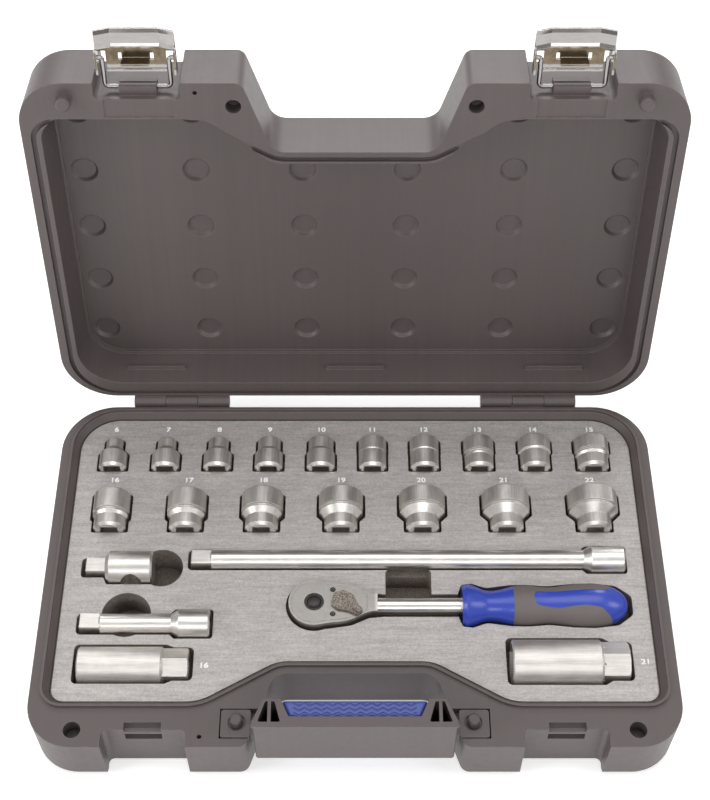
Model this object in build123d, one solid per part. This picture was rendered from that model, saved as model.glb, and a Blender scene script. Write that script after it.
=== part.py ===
from build123d import *
import os
from math import atan, cos, degrees, pi, radians, sin, tan

# A 3/8 inch drive socket wrench set in its moulded case, standing open.
# Millimetres, +Z up. The origin is under the centre of the base's rim, in the plane it stands on.
# -Y is the handle side, +Y the hinge side. The lid is modelled closed and then swung open.

# Case
CASE_W = 362.0
CASE_D = 228.0
SEAM_Z = 39.0
LID_H = 38.0
SEAM_GAP = 0.2
DRAFT = 0.8
EDGE_R = 5.0
REAR_CORNER_R = 32.0
FRONT_CORNER_R = 26.0
FRONT_Y = -CASE_D / 2
REAR_Y = CASE_D / 2
NOTCH_HALF = 45.0
NOTCH_MOUTH_HALF = 60.0
NOTCH_Y = -70.2

# Inside of the base and of the lid
TRAY_HALF = 173.5
TRAY_FRONT_Y = -89.0
TRAY_REAR_Y = 110.0
TRAY_NOTCH_Y = -64.3
INLAY_MARGIN = 2.8
INLAY_Z = SEAM_Z - 4.0
FLOOR_T = 4.0
BEAD_W = 1.6
BEAD_H = 2.2
BEAD_CLEARANCE = 0.7
LID_CAVITY_DEPTH = 26.0
LID_CAVITY_DRAFT = 7.8
LID_LEDGE_W = 1.4
LID_LEDGE_H = 2.0
DIMPLE_R = 8.0
DIMPLE_FLOOR_R = 6.4
DIMPLE_DEPTH = 2.0
DIMPLE_COLUMNS = (-155.0, -91.0, -30.0, 30.0, 91.0, 155.0)
DIMPLE_ROWS = (-80.0, -40.0, 0.0, 40.0, 80.0)
PEG_X = 155.0
PEG_Y = -104.0
PEG_R = 4.2

# Hinge
HINGE_Y = 118.7
HINGE_X = 109.0
KNUCKLE_R = 4.0
KNUCKLE_W = 20.0
KNUCKLE_GAP = 0.4
PIN_R = 1.5
OPEN_ANGLE = 99.8

# Latches
LATCH_X = 115.8
LATCH_RECESS_HALF = 23.2
LATCH_WALL_Y = -103.8
WIRE_R = 1.25
BAR_Y = -106.8
BAR_Z = SEAM_Z + 9.0
BAIL_HALF = 17.7
BAIL_REACH = 17.6
LEVER_T = 1.2
LEVER_HALF = 21.4
LEVER_INNER_HALF = 16.0
LEVER_PANEL_HALF = 13.2
LEVER_LOBE_W = 8.6
LEVER_LOBE_TURN = 20.0
LEVER_TOP = 8.0
LEVER_KINK = 22.2
LEVER_REACH = 33.2
CATCH_Z = SEAM_Z - 5.7
CATCH_H = 2.4

# Carrying handle
HANDLE_HALF = 56.1
HANDLE_BACK_HALF = 49.5
HANDLE_FRONT_Y = -111.8
HANDLE_LOW_Z = SEAM_Z - 21.5
HANDLE_TOP_Z = SEAM_Z + 24.2
HANDLE_LIP_Y = -113.0
HANDLE_LIP_H = 2.2
HANDLE_BACK_Y = -96.9
GRIP_FRONT_Y = -107.0
GRIP_FRONT_HALF = 35.4
GRIP_BACK_HALF = 39.8
EAR_X = 65.5
EAR_Y = -100.2
EAR_HALF = 8.2
EAR_LOW_Z = SEAM_Z - 6.0
HANDLE_PIN_X = 65.0
HANDLE_PIN_Y = -99.5
HANDLE_PIN_R = 3.5

# Tools
SQUARE_MALE = 9.45
SQUARE_FEMALE = 9.65
SQUARE_LEN = 11.3
BALL_R = 1.7
POCKET_GAP = 1.3
FINGER_DEPTH = 21.0
FACE_T = 1.0
FACE_GAP = 0.9
FOAM_GAP = 0.2
FOAM_SPLIT_Y = 17.0
POCKET_FRONT_GAP = 0.3
ROW_1_FRONT_Y = 68.2
ROW_1_LEN = 22.0
ROW_2_FRONT_Y = 24.6
ROW_2_LEN = 25.6
# hexagon size: (x, outside diameter at the hexagon end, outside diameter at the drive end)
ROW_1 = {
    6: (-149.2, 10.6, 17.0), 7: (-116.8, 11.5, 17.2), 8: (-84.8, 12.6, 17.3), 9: (-53.2, 14.2, 17.3),
    10: (-21.1, 15.6, 17.5), 11: (10.8, 17.3, 17.0), 12: (42.9, 18.0, 17.6), 13: (76.5, 18.8, 17.8),
    14: (111.1, 20.2, 18.3), 15: (146.5, 21.4, 19.3),
}
ROW_2 = {
    16: (-147.0, 22.2, 19.6), 17: (-101.6, 23.5, 19.8), 18: (-56.0, 25.2, 20.0), 19: (-8.5, 26.8, 20.0),
    20: (40.5, 27.9, 20.0), 21: (91.0, 28.8, 20.0), 22: (143.5, 30.2, 20.4),
}
DEEP_Z = SEAM_Z - 7.0

LONG_BAR = {"x0": -96.4, "x1": 158.6, "y": 5.3, "shaft_r": 6.0, "head_r": 8.4, "head_len": 24.0}
SHORT_BAR = {"x0": -157.9, "x1": -83.2, "y": -37.0, "shaft_r": 5.9, "head_r": 8.5, "head_len": 22.0}
TEE_X0 = -157.9
TEE_X1 = -118.6
TEE_R = 10.0
TEE_HOLE_X = -131.0
TEE_HOLE_R = 6.2

# Ratchet
RATCHET_Y = -25.0
RATCHET_Z = SEAM_Z - 5.0
HEAD_X = -23.6
HEAD_R = 14.8
HEAD_HALF_H = 5.5
COVER_T = 1.2
NECK_X = 13.0
COVER_END_X = 7.0
NECK_HALF = 5.6
GEAR_R = 9.6
GEAR_TEETH = 36
TOOTH_DEPTH = 0.9
GEAR_HALF_H = 3.4
BEARING_R = 6.6
BUTTON_R = 4.2
LEVER_PIVOT_X = -6.6
PAWL_PIN_R = 1.5
PAWL_ROCK = 4.5
SHAFT_R = 4.9
GRIP_X0 = 62.0
GRIP_X1 = 158.0
SEAM_X = 91.3

nodes = {}


def outline(points, radii):
    """Closed face whose straight sides join the points, each corner rounded by its radius."""
    return make_face(FilletPolyline(*points, radius=radii, close=True).edges())


def mirrored(right_points, radii):
    """Closed face symmetric about the Y axis, from the points of its right-hand half."""
    left_points = [(-x, y) for x, y in reversed(right_points)]
    return outline(right_points + left_points, radii + radii[::-1])


def prism(face, low, high):
    return Pos(0, 0, low) * extrude(face, high - low)


def block(x, y, z):
    """Box between the pairs of limits x, y and z."""
    size = [high - low for low, high in (x, y, z)]
    return Pos(*[(low + high) / 2 for low, high in (x, y, z)]) * Box(*size)


def rod(radius, start, end):
    """Cylinder along Z, turned to run from start to end."""
    axis = Vector(*end) - Vector(*start)
    place = Plane(origin=start, z_dir=axis)
    return place.location * Cylinder(radius, axis.length, align=(Align.CENTER, Align.CENTER, Align.MIN))


def turned(profile):
    """Solid of revolution about Z of a profile given as (radius, height) points."""
    face = make_face(Polyline(*[(r, 0, z) for r, z in profile], close=True).edges())
    return revolve(face, Axis.Z)


def swung_open(shape):
    """Moves a part of the closed lid to where it stands with the lid open."""
    return Pos(0, HINGE_Y, SEAM_Z) * Rot(X=-OPEN_ANGLE) * Pos(0, -HINGE_Y, -SEAM_Z) * shape


def both_sides(shape):
    return shape + mirror(shape, Plane.YZ)


# ---------------------------------------------------------------- case

def shell_plan():
    points = [(NOTCH_HALF, NOTCH_Y), (NOTCH_MOUTH_HALF, FRONT_Y), (CASE_W / 2, FRONT_Y), (CASE_W / 2, REAR_Y)]
    return mirrored(points, [10, 6, FRONT_CORNER_R, REAR_CORNER_R])


def tray_plan():
    points = [(43, TRAY_NOTCH_Y), (86, TRAY_FRONT_Y), (TRAY_HALF, TRAY_FRONT_Y), (TRAY_HALF, TRAY_REAR_Y)]
    return mirrored(points, [20, 30, 11, 27])


def lid_cavity_plan():
    points = [(45, -62.5), (80, -91), (170.4, -91), (170.4, 103)]
    return mirrored(points, [14, 18, 13, 26])


def latch_recess(low, high):
    plan = RectangleRounded(2 * LATCH_RECESS_HALF, 30, 3)
    right = prism(Pos(LATCH_X, LATCH_WALL_Y - 15) * plan, low, high)
    return both_sides(right)


def bead_ring(inner, outer, low, high):
    """Ring that follows the tray's edge, between two distances outside it."""
    plan = tray_plan()
    return prism(offset(plan, outer), low, high) - prism(offset(plan, inner), low - 1, high + 1)


def knuckles(offsets, width, web_y, web_z):
    """Hinge knuckles on both hinges, each with a web that joins it to the shell from web_y at web_z."""
    result = None
    for x in [side * HINGE_X + step for side in (-1, 1) for step in offsets]:
        web = block((x - width / 2, x + width / 2), (web_y, HINGE_Y), web_z)
        barrel = rod(KNUCKLE_R, (x - width / 2, HINGE_Y, SEAM_Z), (x + width / 2, HINGE_Y, SEAM_Z))
        result = web + barrel if result is None else result + web + barrel
    return result


def handle_pin_rod(radius, low, high):
    """Cylinder on the axis of the right-hand handle pin."""
    return rod(radius, (HANDLE_PIN_X, HANDLE_PIN_Y, low), (HANDLE_PIN_X, HANDLE_PIN_Y, high))


def hinge_bore():
    half = HINGE_X + 1.5 * KNUCKLE_W + 1
    return rod(PIN_R + 0.06, (-half, HINGE_Y, SEAM_Z), (half, HINGE_Y, SEAM_Z))


def base_shell():
    shell = Pos(0, 0, SEAM_Z) * extrude(shell_plan(), -SEAM_Z, taper=DRAFT)
    shell = fillet(shell.faces().sort_by(Axis.Z)[0].outer_wire().edges(), EDGE_R)
    shell += bead_ring(0.3, 0.3 + BEAD_W, SEAM_Z - 1, SEAM_Z + BEAD_H)
    shell -= prism(offset(tray_plan(), -INLAY_MARGIN), FLOOR_T, SEAM_Z)
    lip_depth = SEAM_Z - INLAY_Z
    lip_angle = degrees(atan(INLAY_MARGIN / lip_depth))
    shell -= Pos(0, 0, SEAM_Z) * extrude(tray_plan(), -lip_depth, taper=lip_angle)
    shell -= latch_recess(-1, SEAM_Z + 3)
    window = block((LATCH_X - 9.5, LATCH_X + 11), (LATCH_WALL_Y - 1, -99.6), (SEAM_Z - 12.3, SEAM_Z + 1))
    rib = block((LATCH_X - 9.6, LATCH_X + 11.1), (LATCH_WALL_Y, -101.4), (CATCH_Z, CATCH_Z + CATCH_H))
    shell = shell - both_sides(window) + both_sides(rib)
    socket_hole = rod(PEG_R + 0.6, (PEG_X, PEG_Y, SEAM_Z - 10), (PEG_X, PEG_Y, SEAM_Z + 1))
    shell -= both_sides(socket_hole)
    shell -= rod(1.25, (-85, -108, SEAM_Z - 4), (-85, -108, SEAM_Z + 1))
    ear_room = block((50, EAR_X + EAR_HALF + 0.6), (EAR_Y - EAR_HALF - 0.6, EAR_Y + EAR_HALF + 0.6),
                     (EAR_LOW_Z, SEAM_Z + 3))
    pin_hole = handle_pin_rod(HANDLE_PIN_R + 0.03, EAR_LOW_Z - 4, SEAM_Z)
    shell -= both_sides(ear_room) + both_sides(pin_hole)
    foot_panel = RectangleRounded(CASE_W - 60, 120, 20)
    shell -= prism(Pos(0, 16) * foot_panel, -1, 0.8)
    shell += knuckles([0], KNUCKLE_W - KNUCKLE_GAP, REAR_Y - 3.5, (SEAM_Z - 5, SEAM_Z - 0.4))
    return shell - hinge_bore()


def lid_shell():
    low = SEAM_Z + SEAM_GAP
    lid = Pos(0, 0, low) * extrude(shell_plan(), LID_H, taper=DRAFT)
    lid = fillet(lid.faces().sort_by(Axis.Z)[-1].outer_wire().edges(), EDGE_R)
    ledge_depth = LID_CAVITY_DEPTH - LID_LEDGE_H
    lid -= Pos(0, 0, low) * extrude(lid_cavity_plan(), ledge_depth, taper=LID_CAVITY_DRAFT)
    floor_inset = ledge_depth * tan(radians(LID_CAVITY_DRAFT)) + LID_LEDGE_W
    lid -= prism(offset(lid_cavity_plan(), -floor_inset), low + ledge_depth - 1, low + LID_CAVITY_DEPTH)
    inner_top = low + LID_CAVITY_DEPTH
    dimple = Cone(DIMPLE_R, DIMPLE_FLOOR_R, DIMPLE_DEPTH, align=(Align.CENTER, Align.CENTER, Align.MIN))
    dimples = [
        Pos(x, y, inner_top) * dimple
        for x in DIMPLE_COLUMNS for y in DIMPLE_ROWS
        if y > DIMPLE_ROWS[0] or abs(x) > 60
    ]
    lid -= dimples
    ring_in = 0.3 - BEAD_CLEARANCE
    ring_out = 0.3 + BEAD_W + BEAD_CLEARANCE
    lid -= bead_ring(ring_in, ring_out, low - 1, SEAM_Z + BEAD_H + 0.5)
    lid -= latch_recess(low - 3, low + LID_H + 1)
    clip = block((LATCH_X - 10, LATCH_X + 10), (-109.4, LATCH_WALL_Y + 1), (BAR_Z - 4.6, BAR_Z + 4.6))
    clip -= block((LATCH_X - 11, LATCH_X + 11), (-110, BAR_Y), (BAR_Z - 0.8, BAR_Z + 0.8))
    clip -= rod(WIRE_R + 0.1, (LATCH_X - 11, BAR_Y, BAR_Z), (LATCH_X + 11, BAR_Y, BAR_Z))
    lid += both_sides(clip)
    peg = rod(PEG_R, (PEG_X, PEG_Y, low - 6.5), (PEG_X, PEG_Y, low + 1))
    peg = fillet(peg.faces().sort_by(Axis.Z)[0].edges(), 1.6)
    lid += both_sides(peg)
    lid -= both_sides(handle_pin_rod(HANDLE_PIN_R + 0.8, low - 1, low + 8.8))
    lid -= rod(1.25, (-85, -108, low - 1), (-85, -108, low + 4))
    for x in (-125, 0, 125):
        lid += block((x - 18, x + 18), (99.5, 105), (low + 11, low + 13.2))
    rim_step = block((LATCH_X - 18.7, LATCH_X + 18.7), (LATCH_WALL_Y - 1, -92.6), (low - 1, low + 0.6))
    lid -= both_sides(rim_step)
    panel = RectangleRounded(CASE_W - 84, 118, 14)
    lid -= prism(Pos(0, 18) * panel, low + LID_H - 0.9, low + LID_H + 1)
    web_z = (SEAM_Z + 0.4, SEAM_Z + 5)
    lid += knuckles([-KNUCKLE_W, KNUCKLE_W], KNUCKLE_W - KNUCKLE_GAP, REAR_Y - 1.2, web_z)
    return lid - hinge_bore()


def hinge_pins():
    half = 1.5 * KNUCKLE_W - 0.3
    return both_sides(rod(PIN_R, (HINGE_X - half, HINGE_Y, SEAM_Z), (HINGE_X + half, HINGE_Y, SEAM_Z)))


# ---------------------------------------------------------------- handle

def grip_plan(gap):
    """Plan of the grip insert, moved out by gap: wider at the finger side."""
    slope = (GRIP_BACK_HALF - GRIP_FRONT_HALF) / (HANDLE_BACK_Y - GRIP_FRONT_Y)
    reach = 2 if gap else 0
    front = (GRIP_FRONT_HALF + gap, GRIP_FRONT_Y - gap)
    back = (GRIP_BACK_HALF + 1.5 * gap + slope * reach, HANDLE_BACK_Y + reach)
    return mirrored([back, front], [0 if gap else 1.2, 1.2])


def handle_frame():
    plan = mirrored([(HANDLE_BACK_HALF, HANDLE_BACK_Y), (HANDLE_HALF - 0.4, HANDLE_FRONT_Y)], [1.5, 1.5])
    frame = prism(plan, HANDLE_LOW_Z, HANDLE_TOP_Z)
    low_edge = frame.faces().sort_by(Axis.Y)[0].edges().filter_by(Axis.X).sort_by(Axis.Z)[0]
    frame = fillet(low_edge, 2.0)
    lip_plan = mirrored([(HANDLE_HALF - 1.8, HANDLE_LIP_Y + 5), (HANDLE_HALF, HANDLE_LIP_Y)], [0.5, 1.0])
    lip = prism(lip_plan, HANDLE_TOP_Z - HANDLE_LIP_H, HANDLE_TOP_Z)
    frame += chamfer(lip.faces().sort_by(Axis.Y)[0].edges().filter_by(Axis.X), 0.5)
    frame -= prism(grip_plan(0.1), HANDLE_LOW_Z - 1, HANDLE_TOP_Z + 1)
    arm = block((49.5, EAR_X), (EAR_Y - EAR_HALF + 1.5, HANDLE_BACK_Y - 1), (EAR_LOW_Z + 0.2, SEAM_Z - 0.3))
    ear = block((EAR_X - EAR_HALF, EAR_X + EAR_HALF), (EAR_Y - EAR_HALF, EAR_Y + EAR_HALF),
                (EAR_LOW_Z + 0.1, SEAM_Z - 0.1))
    ear = fillet(ear.edges().filter_by(Axis.Z), 1.5)
    pin_room = handle_pin_rod(HANDLE_PIN_R + 0.03, EAR_LOW_Z - 1, SEAM_Z + 1)
    ring_room = handle_pin_rod(HANDLE_PIN_R + 1.3, SEAM_Z - 1.3, SEAM_Z + 1)
    end_room = outline([(39.8, -110.2), (52.2, -110.2), (48.2, -98.3), (43.2, -98.3)], [0.8, 0.8, 0.8, 0.8])
    end_room -= Pos(45.9, -104) * Rectangle(1.8, 20)
    frame += both_sides(arm + ear - pin_room - ring_room)
    return frame - both_sides(prism(end_room, HANDLE_LOW_Z + 4, HANDLE_TOP_Z + 1))


def handle_grip():
    top_z = HANDLE_TOP_Z - 1.4
    grip = prism(grip_plan(0), HANDLE_LOW_Z + 1.4, top_z)
    rear_edges = [edge for edge in grip.edges().filter_by(Plane.XY) if edge.center().Y > HANDLE_BACK_Y - 0.5]
    grip = fillet(rear_edges, 2.4)
    pitch = 6.0
    count = 11
    for row in range(3):
        y = GRIP_FRONT_Y + 1.9 + 2.7 * row
        crest = [(-count / 2 * pitch + pitch / 2 * i, y + 0.8 * (-1) ** i) for i in range(2 * count + 1)]
        grip -= prism(trace(Polyline(*crest), 0.9), top_z - 0.6, top_z + 1)
    return grip


def handle_pins():
    pin = handle_pin_rod(HANDLE_PIN_R, EAR_LOW_Z - 3.5, SEAM_Z + 5.2)
    pin = fillet(pin.faces().sort_by(Axis.Z)[-1].edges(), 1.4)
    return both_sides(pin)


# ---------------------------------------------------------------- latches, modelled hanging closed at x = 0

def bail():
    """Wire loop whose ends turn out through the lever's flanges to make its pivots."""
    low_z = BAR_Z - BAIL_REACH
    tip = LEVER_HALF + 0.4
    route = [(-tip, low_z), (-BAIL_HALF, low_z), (-BAIL_HALF, BAR_Z), (BAIL_HALF, BAR_Z), (BAIL_HALF, low_z),
             (tip, low_z)]
    path = FilletPolyline(*[(x, BAR_Y, z) for x, z in route], radius=[1.4, 2.4, 2.4, 1.4])
    section = Plane(origin=path @ 0, z_dir=path % 0) * Circle(WIRE_R)
    return sweep(section, path)


def lever():
    """Pressed lever: flanges outside the wire, a plate that passes inside it, finger end and hook tongue."""
    pivot_z = BAR_Z - BAIL_REACH
    lip_z = CATCH_Z - 0.15
    kink_z = BAR_Z - LEVER_KINK
    end_z = BAR_Z - LEVER_REACH
    top_z = BAR_Z - LEVER_TOP
    out_y = BAR_Y - 3.7
    in_y = out_y + LEVER_T
    strip = block((-LEVER_HALF, LEVER_HALF), (out_y, in_y), (kink_z - 0.5, pivot_z - 2.4))
    plate = block((-LEVER_INNER_HALF, LEVER_INNER_HALF), (out_y, in_y), (kink_z, top_z))
    rim = block((-LEVER_INNER_HALF, LEVER_INNER_HALF), (out_y, in_y + 1.0), (top_z - LEVER_T, top_z))
    profile = [(out_y, kink_z), (out_y - 0.9, kink_z - 2.0), (out_y - 0.9, end_z + 3), (out_y - 0.2, end_z),
               (out_y + 1.0, end_z), (in_y - 0.9, end_z + 3), (in_y - 0.9, kink_z - 2.0), (in_y, kink_z)]
    side = make_face(Polyline(*[(0, y, z) for y, z in profile], close=True).edges())
    panel = extrude(side, LEVER_PANEL_HALF, both=True)
    lobe = Pos(LEVER_LOBE_W / 2, -in_y, 0) * extrude(side, LEVER_LOBE_W / 2, both=True)
    lobe = Pos(LEVER_PANEL_HALF - 0.6, in_y, 0) * Rot(Z=LEVER_LOBE_TURN) * lobe
    flange = block((LEVER_HALF - LEVER_T, LEVER_HALF), (out_y, BAR_Y + 2.2), (kink_z - 0.5, top_z))
    tongue = block((-7.5, 7.5), (out_y, -102.3), (lip_z - LEVER_T, lip_z))
    body = strip + plate + rim + panel + both_sides(lobe + flange) + tongue
    body -= both_sides(block((7.6, 9.4), (out_y - 1, in_y + 1), (lip_z - 4, lip_z)))
    pivot = rod(WIRE_R + 0.08, (LEVER_HALF - 3, BAR_Y, pivot_z), (LEVER_HALF + 1, BAR_Y, pivot_z))
    return body - both_sides(pivot)


def laid_out(shape, side):
    """Turns a hanging latch part straight out from the lid's bar, then opens the lid with it."""
    level = Pos(0, BAR_Y, BAR_Z) * Rot(X=-90) * Pos(0, -BAR_Y, -BAR_Z) * shape
    return swung_open(Pos(side * LATCH_X, 0, 0) * level)


# ---------------------------------------------------------------- tools

def male_square(length):
    """Square drive along +Z from z = 0, with a chamfered end and a seat for the ball in its +Y face."""
    drive = extrude(RectangleRounded(SQUARE_MALE, SQUARE_MALE, 0.8), length)
    drive = chamfer(drive.faces().sort_by(Axis.Z)[-1].outer_wire().edges(), 0.5)
    half = SQUARE_MALE / 2
    return drive - rod(BALL_R + 0.1, (0, half - 3.2, length - 5), (0, half + 1, length - 5))


def drive_ball(length):
    return Pos(0, SQUARE_MALE / 2 - 1.1, length - 5) * Sphere(BALL_R)


def square_hole(depth):
    hole = extrude(RectangleRounded(SQUARE_FEMALE, SQUARE_FEMALE, 0.6), depth)
    lead = loft([Rectangle(SQUARE_FEMALE + 1.2, SQUARE_FEMALE + 1.2).face(),
                 Pos(0, 0, 0.7) * Rectangle(SQUARE_FEMALE, SQUARE_FEMALE).face()])
    return hole + lead


def hex_hole(size, depth, circumradius_scale=1.0):
    return extrude(RegularPolygon(size / 2 * circumradius_scale, 6, major_radius=False), depth)


def socket(size, length, hex_od, drive_od):
    """Socket along +Z: the drive square opens at z = 0 and the hexagon at z = length."""
    drive_r = drive_od / 2
    hex_r = hex_od / 2
    rim = 1.6
    if size <= 10:
        shoulder = 0.53 * length
        run = max(1.2, drive_r - hex_r)
        outside = [(drive_r - rim, 0), (drive_r, rim), (drive_r, shoulder), (hex_r + 0.25, shoulder + run),
                   (hex_r, shoulder + run + 0.9), (hex_r, length - 0.5), (hex_r - 0.5, length)]
    elif size <= 14 and size != 13:
        step = 0.53 * length
        outside = [(drive_r - rim, 0), (drive_r, rim), (drive_r, step), (hex_r, step + 0.9),
                   (hex_r, length - 0.6), (hex_r - 0.6, length)]
    else:
        neck = 0.32 * length if size > 15 else 0.38 * length
        cone = min(hex_r - drive_r, 3.6) + 0.6
        ridge = neck + cone
        outside = [(drive_r - rim, 0), (drive_r, rim), (drive_r, neck), (hex_r - 0.3, ridge),
                   (hex_r - 0.3, ridge + 0.6), (hex_r - 1.1, ridge + 1.0), (hex_r - 1.1, ridge + 1.7), (hex_r, ridge + 2.3),
                   (hex_r, length - 0.7), (hex_r - 0.7, length)]
    body = turned([(0, 0)] + outside + [(0, length)])
    mouth = Pos(0, 0, length) * Rot(X=180)
    body -= mouth * hex_hole(size, 0.42 * length)
    body -= mouth * Cone(size * 0.62, size * 0.5, 1.0, align=(Align.CENTER, Align.CENTER, Align.MIN))
    body -= rod(min(size * 0.46, SQUARE_FEMALE / 2), (0, 0, -1), (0, 0, length + 1))
    return body - square_hole(0.5 * length)


def along_y(x, front_y, z):
    """Location that turns the local Z axis to +Y with its start at front_y."""
    return Pos(x, front_y, z) * Rot(X=-90)


def along_x(x, y, z, towards=1):
    return Pos(x, y, z) * Rot(Y=90 * towards)


def add_sockets():
    for sizes, front_y, length in ((ROW_1, ROW_1_FRONT_Y, ROW_1_LEN), (ROW_2, ROW_2_FRONT_Y, ROW_2_LEN)):
        for size, (x, hex_od, drive_od) in sizes.items():
            body = socket(size, length, hex_od, drive_od)
            nodes[f"socket_{size:02d}"] = along_y(x, front_y, INLAY_Z) * body


def socket_pocket(x, front_y, length, hex_od, drive_od):
    """Plan of a socket's pocket: its silhouette with a gap all round."""
    front = front_y - POCKET_FRONT_GAP
    rear = front_y + length + 0.9
    drive_half = drive_od / 2 + POCKET_GAP
    hex_half = hex_od / 2 + POCKET_GAP
    if hex_half > drive_half + 1.2:
        bend = front_y + 0.28 * length
        slope = hex_half - drive_half
    else:
        bend = front_y + 0.55 * length
        slope = max(0.8, abs(drive_half - hex_half))
    points = [(drive_half, front), (drive_half, bend), (hex_half, bend + slope), (hex_half, rear)]
    return Pos(x, 0) * mirrored(points, [1.2, 0, 0, 2.0])


def bar(x0, x1, y, shaft_r, head_r, head_len):
    """Extension bar along X: a square drive at x0 and the female head at x1."""
    length = x1 - x0
    neck = SQUARE_LEN
    cone = 3.6
    profile = [(0, neck), (shaft_r - 0.8, neck), (shaft_r, neck + 0.8), (shaft_r, length - head_len),
               (head_r - 0.4, length - head_len + cone), (head_r, length - head_len + cone + 0.8),
               (head_r, length - 0.8), (head_r - 0.8, length), (0, length)]
    body = turned(profile) + Pos(0, 0, neck + 0.5) * Rot(X=180) * male_square(neck + 0.5)
    body -= Pos(0, 0, length) * Rot(X=180) * square_hole(11.5)
    place = along_x(x0, y, INLAY_Z) * Rot(Z=180)
    ball = Pos(0, 0, neck + 0.5) * Rot(X=180) * drive_ball(neck + 0.5)
    return place * body, place * ball


def tee_adapter():
    length = TEE_X1 - TEE_X0
    neck = SQUARE_LEN + 0.4
    profile = [(0, neck), (7.6, neck), (TEE_R, neck + 2.4), (TEE_R, length - 1.2), (TEE_R - 1.2, length),
               (0, length)]
    body = turned(profile) + Pos(0, 0, neck + 0.5) * Rot(X=180) * male_square(neck + 0.5)
    cross = rod(TEE_HOLE_R, (0, -TEE_R - 1, TEE_HOLE_X - TEE_X0), (0, TEE_R + 1, TEE_HOLE_X - TEE_X0))
    place = along_x(TEE_X0, 0, INLAY_Z) * Rot(Z=180)
    ball = Pos(0, 0, neck + 0.5) * Rot(X=180) * drive_ball(neck + 0.5)
    return place * (body - cross), place * ball


def spark_plug_socket(size, x0, x1, y, radius, hex_af, hex_x):
    """Deep socket along X with a turned body, a hexagon outside its drive end and a rubber sleeve inside."""
    length = x1 - x0
    body_len = hex_x - x0
    body = turned([(0, 0), (radius - 0.8, 0), (radius, 0.8), (radius, body_len - 1.5), (radius - 1.5, body_len),
                   (0, body_len)])
    wrench_end = Pos(0, 0, body_len - 1) * hex_hole(hex_af, length - body_len + 1)
    corner_cut = [(0, 0), (hex_af, 0), (hex_af / 2 * 1.16, length - 0.9), (hex_af / 2 + 0.4, length), (0, length)]
    body += wrench_end & turned(corner_cut)
    body -= hex_hole(size, 22)
    body -= rod(size / 2, (0, 0, -1), (0, 0, length - 14))
    body -= Pos(0, 0, length) * Rot(X=180) * square_hole(15)
    sleeve = rod(size / 2 - 0.02, (0, 0, 24), (0, 0, length - 15))
    sleeve -= rod(size / 2 - 2.6, (0, 0, 23), (0, 0, length - 14))
    place = along_x(x0, y, DEEP_Z)
    return place * body, place * sleeve


def deep_pocket(x0, x1, y, radius, hex_af, hex_x):
    half = radius + 1.2
    hex_half = hex_af / 2 + 1.6
    points = [(x0 - 3, y - half), (hex_x + 1, y - half), (hex_x + 5, y - hex_half), (x1 + 2.6, y - hex_half),
              (x1 + 2.6, y + hex_half), (hex_x + 5, y + hex_half), (hex_x + 1, y + half), (x0 - 3, y + half)]
    return outline(points, [3, 1, 1, 3, 3, 1, 1, 3])


# ---------------------------------------------------------------- ratchet

def pear(inset=0.0):
    """Plan of the head, its outline moved in by inset: a round end that draws in to the neck."""
    radius = HEAD_R - inset
    start_angle = radians(74)
    top = (HEAD_X + radius * cos(start_angle), radius * sin(start_angle))
    shoulder = [top, (-8.5, 12.7 - inset), (-1.5, 10.9 - inset), (5.5, 7.4 - inset),
                (NECK_X, NECK_HALF - inset)]
    slope = (sin(start_angle), -cos(start_angle))
    upper = Spline(*shoulder, tangents=[slope, (1, -0.06)])
    lower = mirror(upper, Plane.XZ)
    nose = ThreePointArc(top, (HEAD_X - radius, 0), (top[0], -top[1]))
    end = Line((NECK_X, NECK_HALF - inset), (NECK_X, inset - NECK_HALF))
    return make_face([*upper.edges(), *end.edges(), *lower.edges(), *nose.edges()])


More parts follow.
